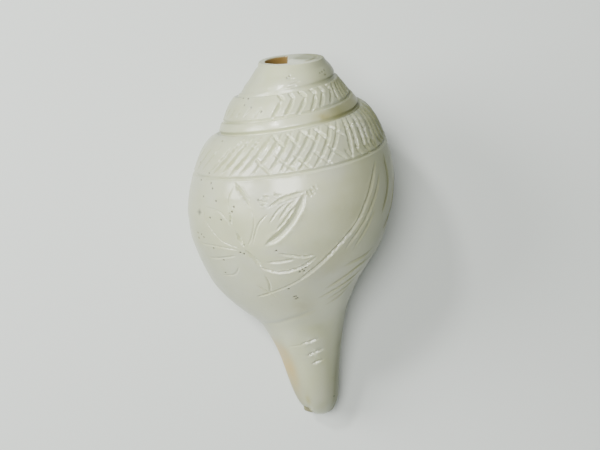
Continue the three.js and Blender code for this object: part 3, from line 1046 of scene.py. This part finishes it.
def hatch_tree():
    """Rows of short strokes between two spiral lines, laid on the shell."""
    floats = "First angle", "Last angle", "Line start angle", "Line step", "Top share"
    floats += "Bottom share", "Lean", "Bow", "Unevenness", "Pressure"
    inputs = [(label, "Object") for label in ("Upper line", "Lower line", "Shell")]
    inputs += [(label, "Float") for label in floats]
    inputs += [(label, "Int") for label in ("Strokes", "Points per stroke", "Seed")]
    tree = GeometryTree("Hatch strokes", inputs + [("Finish", "Material")])
    given = tree.inputs
    per_stroke = given["Points per stroke"]
    total = tree.times(given["Strokes"], per_stroke)
    line = tree.add("GeometryNodeMeshLine", mode="OFFSET", inputs={"Count": total}).outputs[0]
    index = tree.add("GeometryNodeInputIndex").outputs[0]
    stroke = tree.math("FLOOR", tree.math("DIVIDE", tree.plus(index, 0.5), per_stroke))
    place_in = tree.minus(index, tree.times(stroke, per_stroke))
    last = tree.minus(per_stroke, 1.0)
    along = tree.math("DIVIDE", place_in, last)
    between = tree.math("GREATER_THAN", place_in, tree.minus(last, 0.5))
    parted = tree.add(
        "GeometryNodeDeleteGeometry",
        domain="EDGE",
        mode="EDGE_FACE",
        inputs={"Geometry": line, "Selection": between},
    )

    def uneven(offset):
        node = tree.add("FunctionNodeRandomValue", data_type="FLOAT")
        node.inputs[2].default_value = -1
        node.inputs[3].default_value = 1
        tree.join(stroke, node.inputs["ID"])
        tree.join(tree.plus(given["Seed"], offset), node.inputs["Seed"])
        return node.outputs[1]

    share = tree.math("DIVIDE", tree.plus(stroke, 0.5), given["Strokes"])
    start = tree.blend(share, given["First angle"], given["Last angle"])
    start = tree.plus(start, tree.times(uneven(0.0), given["Unevenness"]))
    arch = tree.times(along, tree.minus(4.0, tree.times(along, 4.0)))
    lean = tree.times(along, given["Lean"])
    lean = tree.times(lean, tree.plus(1.0, tree.times(uneven(1.0), STRAY_LEAN)))
    angle = tree.plus(start, tree.plus(lean, tree.times(arch, given["Bow"])))
    down = tree.blend(along, given["Top share"], given["Bottom share"])
    down = tree.plus(down, tree.times(uneven(2.0), STRAY_END))
    step = tree.math("DIVIDE", tree.minus(angle, given["Line start angle"]), given["Line step"])
    here = tree.add("GeometryNodeInputPosition").outputs[0]
    upper, lower = (
        tree.sample(tree.object(label), here, step, "FLOAT_VECTOR", clamp=True)
        for label in ("Upper line", "Lower line")
    )
    mix = tree.add("ShaderNodeMix", data_type="VECTOR", inputs={0: down, 4: upper, 5: lower})
    near = tree.add("GeometryNodeProximity", tree.object("Shell"), target_element="FACES")
    tree.join(mix.outputs[1], near.inputs["Sample Position"])
    laid = tree.moved(parted.outputs[0], Position=near.outputs["Position"])
    ends = tree.math("MINIMUM", along, tree.minus(1.0, along))
    press = tree.times(tree.step(ends, *STROKE_END), given["Pressure"])
    hand = tree.plus(1 - STRAY_PRESS, tree.times(uneven(3.0), STRAY_PRESS))
    tree.finish(tree.store(laid, "press", tree.times(press, hand)))
    return tree.tree


def carve_tree():
    """Cuts a groove into the shell along each stroke, and marks how deep it is."""
    inputs = [(label, "Float") for label in ("Width", "Depth", "Burr")]
    inputs += [("Strokes", "Object"), ("Finish", "Material")]
    tree = GeometryTree("Carve strokes", inputs)
    given = tree.inputs
    strokes = tree.object("Strokes")
    near = tree.add("GeometryNodeProximity", strokes, target_element="EDGES")
    nearest = tree.add("GeometryNodeSampleNearest", strokes, domain="POINT").outputs[0]
    press = tree.sample(strokes, tree.named("press"), nearest)
    reach = tree.times(tree.times(given["Width"], 0.5), tree.math("POWER", press, 0.5))
    out = tree.math("DIVIDE", near.outputs["Distance"], tree.math("MAXIMUM", reach, 1e-6))
    slope = tree.minus(1.0, tree.math("MINIMUM", out, 1.0))
    cut = tree.times(tree.step(slope, 0.0, 1.0), press)
    ridge = tree.times(tree.step(out, *BURR_RISE), tree.step(out, *BURR_FALL, 1.0, 0.0))
    ridge = tree.times(tree.times(ridge, press), given["Burr"])
    move = tree.minus(ridge, tree.times(cut, given["Depth"]))
    normal = tree.named("skin_normal", "FLOAT_VECTOR")
    scaled = tree.add("ShaderNodeVectorMath", normal, operation="SCALE", inputs={"Scale": move})
    carved = tree.moved(given["Geometry"], Offset=scaled.outputs[0])
    deepest = tree.math("MAXIMUM", tree.named("carved"), cut)
    tree.finish(tree.store(carved, "carved", deepest))
    return tree.tree


def bands_of_hatching(settings, skin, guides):
    """Every row of hatching as one object of strokes for each width."""
    turn_of_spacing = math.degrees(settings.hatch_spacing / MM / HATCH_RADIUS)
    made = []
    tree = hatch_tree()
    for seed, row in enumerate(HATCHING, 1):
        lines, first, final, top, bottom, lean, bow, gap, press = row
        count = int(abs(final - first) / (gap * turn_of_spacing))
        strokes = mesh_object(f"hatching {seed}", [(0, 0, 0)])
        rule = strokes.modifiers.new("Hatch", "NODES")
        rule.node_group = tree
        set_inputs(
            rule,
            {
                "Upper line": guides[lines[0]],
                "Lower line": guides[lines[1]],
                "Shell": skin,
                "Strokes": max(count, 2),
                "First angle": float(first),
                "Last angle": float(final),
                "Line start angle": GUIDE_START,
                "Line step": GUIDE_STEP,
                "Top share": top,
                "Bottom share": bottom,
                "Lean": float(lean),
                "Bow": float(bow),
                "Unevenness": settings.hatch_unevenness,
                "Pressure": press,
                "Points per stroke": HATCH_POINTS,
                "Seed": seed,
            },
        )
        mesh = baked(strokes, strokes.name)
        strokes.modifiers.clear()
        strokes.data = mesh
        made.append(strokes)
    return made


def spiral_depth(name, angles):
    turns, below, _, _ = SPIRALS[name]
    return suture_depth(angles + turns * TURN) + below


def guide_lines():
    """The spiral lines as points at even angles, for the hatching between them."""
    angles = np.arange(GUIDE_START, LIP_ANGLE + GUIDE_OVERRUN, GUIDE_STEP)
    held = np.minimum(angles, LIP_ANGLE - 1)
    guides = {}
    for name in SPIRALS:
        points = on_skin(held, spiral_depth(name, angles) + GUIDE_DROP)
        guides[name] = mesh_object(name, to_frame(points))
    return guides


def cut_lines(strokes):
    """The lines of one kind of cut, each after how hard it is pressed."""
    if strokes is FACE_SEAM:
        return [(1.0, face_seam())]
    if not isinstance(strokes[0], str):
        return [(press, stroke_points(line)) for press, line in strokes]
    lines = []
    for name in strokes:
        angles = np.arange(*SPIRALS[name][2:], SPIRAL_STEP)
        lines.append((1.0, on_skin(angles, spiral_depth(name, angles))))
    return lines


def on_sawn_face(angle, radius):
    """Places on the saw cut."""
    spots = place(np.asarray(angle, float), 0.0, np.asarray(radius, float))
    spots[..., 1] = -spots[..., 2] * math.tan(math.radians(SAW_TILT))
    return spots


def face_seam():
    angle = np.linspace(FACE_SEAM[0][0], FACE_SEAM[-1][0], SEAM_POINTS)
    return on_sawn_face(angle, smooth_curve(FACE_SEAM)(angle))


def pit_centres():
    on_side = [on_skin(angle, depth) for angle, depth in PITS]
    return on_side + [on_sawn_face(angle, radius) for angle, radius in FACE_PITS]


def pit_strokes():
    length = [PIT_LENGTH, PIT_LENGTH, 0]
    return [(1.0, np.stack([centre, centre + length])) for centre in pit_centres()]


# ---------------------------------------------------------------- surface marks


def fade(name, at):
    return ease(at, *FADES[name])


def surface_marks(points):
    """How far each place is inside, near the peach lip, stained, under painted shade on the flanks
    and cord, toned along the canal, or ground flat.
    """
    depth = -points[:, 1]
    radius = np.hypot(points[:, 0], points[:, 2])
    raw = np.degrees(np.arctan2(points[:, 2], points[:, 0]))
    angle = behind_lip(raw, depth)
    past_lip = angle - lip_angle(depth)
    under = np.abs(skin_radius(angle - TURN, depth) - radius)
    sunk = np.abs(skin_radius(angle, depth) - radius)
    sunk = np.where(past_lip > -LIP_REACH, np.minimum(sunk, under), sunk)
    below = below_saw(points)
    inside = np.where(below < FACE_SKIN[1], 0, fade("inside", sunk))
    inside = inside * (1 - TIP_SHARE_INSIDE * fade("canal tip", depth))
    outside = inside < OUTSIDE
    wrapped = np.mod(raw + 90, TURN) - 90
    stain = np.zeros(len(points))
    for centre, at, spread, tall, strength in STAINS:
        away = ((wrapped - centre) / spread) ** 2 + ((depth - at) / tall) ** 2
        stain = np.maximum(stain, strength * np.exp(-away) * outside)
    lip_length = fade("lip top", depth) * fade("lip bottom", -depth)
    # Painted shade on the right part of the cord, just above the suture.
    under_cord = depth - suture_depth(wrapped)
    on_cord = fade("cord top", under_cord) * fade("cord bottom", -under_cord)
    # Painted shade: the right flank, the left flank and the belly are darkened as if less light
    # reached them; the canal also gets a deeper tone.
    belly = 1 - fade("belly", wrapped)
    age = fade("right flank", -wrapped) * (1 - belly)
    left, canal_share = FLANK_SHADE_PARTS
    age += left * np.maximum(fade("left flank", wrapped), belly)
    age += canal_share * fade("canal", depth)
    return {
        "inside": inside,
        "mouth_glow": fade("mouth", -depth) * fade("mouth wall", sunk) * (below > FACE_SKIN[0]),
        "lip_edge": fade("lip edge", past_lip) * lip_length,
        "stain": stain,
        "olive": on_cord * fade("right cord", -wrapped) * outside,
        "ground": fade("ground", -below),
        "age": np.minimum(age, 1) * outside,
        "carved": np.zeros(len(points)),
        "pit": np.zeros(len(points)),
    }


def engraving(settings, skin):
    """Every kind of stroke with its width, depth and raised edge."""
    groups = []
    for name, (strokes, taper, *profile) in CUTS.items():
        groups.append((strokes_object(name, cut_lines(strokes), taper), *profile))
    guides = guide_lines()
    profile = (settings.hatch_width / MM, settings.hatch_depth / MM, HATCH_BURR)
    groups += [(rows, *profile) for rows in bands_of_hatching(settings, skin, guides)]
    discard(*guides.values())
    pits = strokes_object("pits", pit_strokes(), PIT_TAPER)
    for press in pits.data.attributes["press"].data:
        press.value = 1.0
    groups.append((pits, 2 * PIT_REACH, PIT_DEPTH, 0.0))
    return groups


# ---------------------------------------------------------------- finishes


def new_material(name):
    material = bpy.data.materials.new(name)
    material.use_nodes = True
    material.node_tree.nodes.clear()
    return material, NodeTree(material.node_tree)


def colour_mix(tree, factor, low, high):
    node = tree.add("ShaderNodeMix", data_type="RGBA")
    tree.join(factor, node.inputs[0])
    tree.join(low, node.inputs[6])
    tree.join(high, node.inputs[7])
    return node.outputs[2]


def rgba(colour):
    return (*colour, 1.0)


def shell_finish(settings):
    """Polished cream shell with dust and painted shade in its cuts, painted shade on its flanks and
    cord, a peach lip and an amber hollow.
    """
    material, tree = new_material("Polished shell")
    here = tree.add("ShaderNodeTexCoord").outputs["Object"]

    def noise(scale, detail=3, grain=GRAIN):
        inputs = {"Scale": scale, "Detail": detail, "Roughness": grain, "Vector": here}
        return tree.add("ShaderNodeTexNoise", inputs=inputs).outputs["Fac"]

    def cloud(name):
        scale, detail, *steps = CLOUDS[name]
        return tree.step(noise(scale, detail), *steps)

    def mark(name, share=1.0):
        fac = tree.add("ShaderNodeAttribute", attribute_name=name).outputs["Fac"]
        return tree.times(fac, share)

    inputs = {"Scale": SPECK_SCALE, "Vector": here}
    specks = tree.add("ShaderNodeTexVoronoi", feature="F1", inputs=inputs).outputs["Distance"]
    dots = tree.times(tree.step(specks, *SPECK_SIZES, 1, 0), cloud("specks"))
    # Each layer's share, then its colour, from the bare shell upwards.
    layers = [
        (cloud("tint"), settings.shell_tint),
        (cloud("bloom"), settings.shell_pale),
        # Painted shade on the flanks and belly, and a deeper tone along the canal.
        (mark("age", FLANK_SHADE_MIX), settings.flank_shade_colour),
        # Painted shade with dust in the floors of the cuts.
        (tree.step(mark("carved"), *DUST_AND_SHADE), settings.dust_and_shade_colour),
        # Painted shade, in olive, on the cord's right part.
        (mark("olive", CORD_SHADE_SHARE), CORD_SHADE),
        (tree.times(mark("stain", STAIN_SHARE), cloud("stain")), settings.stain_colour),
        (tree.times(mark("lip_edge"), cloud("lip")), settings.lip_colour),
        (mark("inside"), settings.inside_colour),
        (mark("mouth_glow"), settings.mouth_colour),
        (tree.math("MAXIMUM", dots, mark("pit")), settings.pit_colour),
    ]
    colour = rgba(settings.shell_colour)
    for share, tone in layers:
        colour = colour_mix(tree, share, colour, rgba(tone))

    # Less coat and specular where the flanks carry painted shade.
    coat_outside_shade = tree.minus(1.0, mark("age", SHADE_COAT_LOSS))
    coarse, fine = RELIEF_SCALES
    relief = tree.plus(tree.times(noise(coarse), RELIEF_SHARE), noise(fine, grain=FINE_GRAIN))
    bump = tree.add("ShaderNodeBump", inputs={**BUMP, "Height": relief})
    inputs = {
        **SHELL,
        "Base Color": colour,
        "Roughness": tree.plus(cloud("roughness"), mark("ground", GROUND_ROUGHNESS)),
        "Coat Weight": coat_outside_shade,
        "Specular IOR Level": tree.times(coat_outside_shade, SPECULAR),
        "Normal": bump.outputs[0],
    }
    shader = tree.add("ShaderNodeBsdfPrincipled", inputs=inputs)
    tree.add("ShaderNodeOutputMaterial", shader.outputs[0])
    return material


def paper_finish(settings):
    """A plain pale sheet, very slightly uneven."""
    material, tree = new_material("Pale sheet")
    here = tree.add("ShaderNodeTexCoord").outputs["Object"]
    inputs = {"Scale": PAPER_SCALE, "Vector": here}
    noise = tree.add("ShaderNodeTexNoise", inputs=inputs).outputs["Fac"]
    low = [PAPER_DIMMEST * part for part in settings.floor_colour]
    colour = colour_mix(tree, noise, rgba(low), rgba(settings.floor_colour))
    inputs = {"Base Color": colour, "Roughness": PAPER_ROUGHNESS}
    shader = tree.add("ShaderNodeBsdfPrincipled", inputs=inputs)
    tree.add("ShaderNodeOutputMaterial", shader.outputs[0])
    return material


# ---------------------------------------------------------------- settings and operators


def length_setting(name, description, default, least):
    return FloatProperty(
        name=name, description=description, default=default * MM, min=least * MM, unit="LENGTH"
    )


def colour_setting(name, description, default):
    return FloatVectorProperty(
        name=name, description=description, default=default, subtype="COLOR"
    )


class ConchSettings(bpy.types.PropertyGroup):
    """Sizes and colours of the conch and its stage."""

    hatch_spacing: length_setting("Hatch spacing", "Distance between neighbouring strokes", 3.5, 1)
    hatch_width: length_setting("Hatch width", "Width of a hatch stroke", 1.7, 0.3)
    hatch_depth: length_setting("Hatch depth", "Depth of a hatch stroke", 1.0, 0)
    hatch_unevenness: FloatProperty(
        name="Hatch unevenness",
        description="How far a stroke may stray from its place, in degrees round the shell",
        default=0.9,
        min=0,
    )
    wear: IntProperty(
        name="Wear",
        description="Rounds of polishing on the ground edges",
        default=5,
        min=0,
    )
    shell_colour: colour_setting("Shell", "Polished shell", (0.68, 0.71, 0.475))
    shell_tint: colour_setting("Shell clouds", "Clouds in the shell", (0.59, 0.63, 0.385))
    shell_pale: colour_setting("Shell bloom", "Cooler pale patches", (0.68, 0.7, 0.61))
    # Colour of the painted shade on the flanks and belly, also used for the deeper tone along the
    # canal.
    flank_shade_colour: colour_setting("Flank shade", "Deeper tone of the right flank", (0.2, 0.212, 0.115))
    # Colour of the dust and painted shade in the cuts.
    dust_and_shade_colour: colour_setting("Dust and shade", "Old polish and dust in the cuts", (0.36, 0.36, 0.22))
    stain_colour: colour_setting("Stain", "Yellow-brown stains", (0.38, 0.34, 0.1))
    lip_colour: colour_setting("Lip edge", "Peach edge of the canal", (0.52, 0.37, 0.11))
    inside_colour: colour_setting("Inside", "Peach inside the lip", (0.72, 0.5, 0.33))
    mouth_colour: colour_setting("Mouth hole", "Amber inside the mouth hole", (0.24, 0.155, 0.045))
    # Near-black colour laid on the pits' floors and on the specks.
    pit_colour: colour_setting("Pits", "Dark colour in the worm pits", (0.03, 0.032, 0.018))
    floor_colour: colour_setting("Floor", "Pale sheet under the shell", (0.74, 0.785, 0.735))
    window_light: FloatProperty(
        name="Window light", description="Strength of the soft lights", default=10.0, min=0
    )
    room_light: FloatProperty(
        name="Room light", description="Strength of the light from all round", default=0.03, min=0
    )


class CONCH_OT_shell(bpy.types.Operator):
    """Grows the shell, saws and hollows it, and engraves it"""

    bl_idname = "conch.shell"
    bl_label = "Carved shell"

    def execute(self, context):
        settings = context.scene.conch
        points, faces = uncut_shell()
        skin = mesh_object("skin", to_frame(points), faces)
        groups = engraving(settings, skin)
        discard(skin)
        fine = FineZone()
        for strokes, width, _, _ in groups:
            marks, _ = arrays(strokes.data)
            level = 3 if strokes.name == "pits" else 2
            fine.add(to_shell(marks), float(np.clip(width / 2, *FINE_REACH)), level)
        rim = sawn_rim()
        fine.add(rim, RIM_REACH, 1)
        points, faces = refine(points, faces, lambda at: fine.edge_length(at, EDGE_LENGTHS), settle)
        points, faces = cut_shell(points, faces)
        hole = mouth()[0]
        hole = hole[np.abs(hole[:, 1]) < 0.01]
        chord = np.linspace(hole[0], hole[-1], MOUTH_STEPS)
        edge = FineZone()
        edge.add(np.concatenate([hole, chord]), MOUTH_REACH, 1)
        edge.add(rim, RIM_REACH, 1)
        edge.add(face_seam(), RIM_REACH, 1)
        edge.add(np.array(pit_centres()[len(PITS) :]), FACE_PIT_REACH, 1)
        points, faces = refine(
            points, faces, lambda at: edge.edge_length(at, GROUND_EDGE_LENGTHS), lambda fresh: fresh
        )
        points = wear_edges(points, faces, settings.wear)
        normals = vertex_normals(points, faces)
        shell = mesh_object("carved_shell", to_frame(points), faces)
        store(shell.data, "skin_normal", normals @ TURN_AT_REST.T, "FLOAT_VECTOR")
        for name, values in surface_marks(points).items():
            store(shell.data, name, values)
        finish = shell_finish(settings)
        tree = carve_tree()
        for strokes, width, depth, burr in groups:
            cut = shell.modifiers.new(strokes.name, "NODES")
            cut.node_group = tree
            values = {"Strokes": strokes, "Width": width * MM, "Depth": depth * MM}
            set_inputs(cut, {**values, "Burr": burr * MM, "Finish": finish})
        mesh = baked(shell, "carved_shell")
        shell.modifiers.clear()
        shell.data = mesh
        mark_pits(mesh)
        discard(*[strokes for strokes, _, _, _ in groups])
        mesh.shade_smooth()
        mesh.set_sharp_from_angle(angle=math.radians(SHARP_ANGLE))
        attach(shell, "root")
        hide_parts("shell")
        if len(mesh.polygons) > MOST_TRIANGLES:
            raise RuntimeError(f"the shell came out with {len(mesh.polygons)} triangles")
        return {"FINISHED"}


def mark_pits(mesh):
    """Marks the dark floor of each pit."""
    points, _ = arrays(mesh)
    at = to_shell(points)
    dark = np.zeros(len(at))
    for centre in pit_centres():
        away = np.linalg.norm(at - centre - [PIT_LENGTH / 2, PIT_LENGTH / 2, 0], axis=1)
        dark = np.maximum(dark, 1 - ease(away, PIT_FLOOR * PIT_REACH, PIT_REACH))
    store(mesh, "pit", dark)


class CONCH_OT_stage(bpy.types.Operator):
    """Lays the pale sheet, hangs the soft lights and sets the camera above the shell"""

    bl_idname = "conch.stage"
    bl_label = "Stage"

    def execute(self, context):
        settings = context.scene.conch
        middle = (Vector(CAD_BOX[0]) + Vector(CAD_BOX[1])) / 2
        far, low = SHEET_REACH, -FLOOR_DEPTH * MM
        corners = [(-far, -far, low), (far, -far, low), (far, far, low), (-far, far, low)]
        floor = mesh_object("pale_sheet", corners, [(0, 1, 2, 3)])
        floor.data.materials.append(paper_finish(settings))
        floor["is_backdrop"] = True
        for name, (place_at, size, share) in LIGHTS.items():
            self.light(context, name, place_at, size, settings.window_light * share, middle)
        world = bpy.data.worlds.new("Soft room")
        world.use_nodes = True
        sky = world.node_tree.nodes["Background"]
        sky.inputs["Color"].default_value = ROOM_COLOUR
        sky.inputs["Strength"].default_value = settings.room_light
        context.scene.world = world
        camera = bpy.data.objects.new("camera", bpy.data.cameras.new("camera"))
        context.scene.collection.objects.link(camera)
        camera.data.lens = LENS
        camera.data.sensor_width = SENSOR_WIDTH
        camera.location = CAMERA_PLACE
        camera.rotation_euler = (0, 0, math.radians(CAMERA_ROLL))
        context.scene.camera = camera
        return {"FINISHED"}

    @staticmethod
    def light(context, name, place_at, size, power, middle):
        lamp = bpy.data.lights.new(name, "AREA")
        lamp.shape = "DISK"
        lamp.size = size
        lamp.energy = power
        made = bpy.data.objects.new(name, lamp)
        context.scene.collection.objects.link(made)
        made.location = place_at
        made.rotation_euler = (middle - made.location).to_track_quat("-Z", "Y").to_euler()


class CONCH_PT_panel(bpy.types.Panel):
    """The conch's operators and settings"""

    bl_idname = "CONCH_PT_panel"
    bl_label = "Carved conch"
    bl_space_type = "VIEW_3D"
    bl_region_type = "UI"
    bl_category = "Conch"

    def draw(self, context):
        layout = self.layout
        for operator in (CONCH_OT_shell, CONCH_OT_stage):
            layout.operator(operator.bl_idname)
        settings = context.scene.conch
        for name in ConchSettings.__annotations__:
            layout.prop(settings, name)


CLASSES = (ConchSettings, CONCH_OT_shell, CONCH_OT_stage, CONCH_PT_panel)


def register():
    for one in CLASSES:
        bpy.utils.register_class(one)
    bpy.types.Scene.conch = PointerProperty(type=ConchSettings)


def unregister():
    del bpy.types.Scene.conch
    for one in reversed(CLASSES):
        bpy.utils.unregister_class(one)


def main():
    register()
    bpy.ops.conch.shell()
    bpy.ops.conch.stage()
    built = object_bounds()
    sizes = {"cad_box": CAD_BOX, "scene_box": built}
    sizes = {name: [list(corner) for corner in box] for name, box in sizes.items()}


if __name__ == "__main__":
    main()
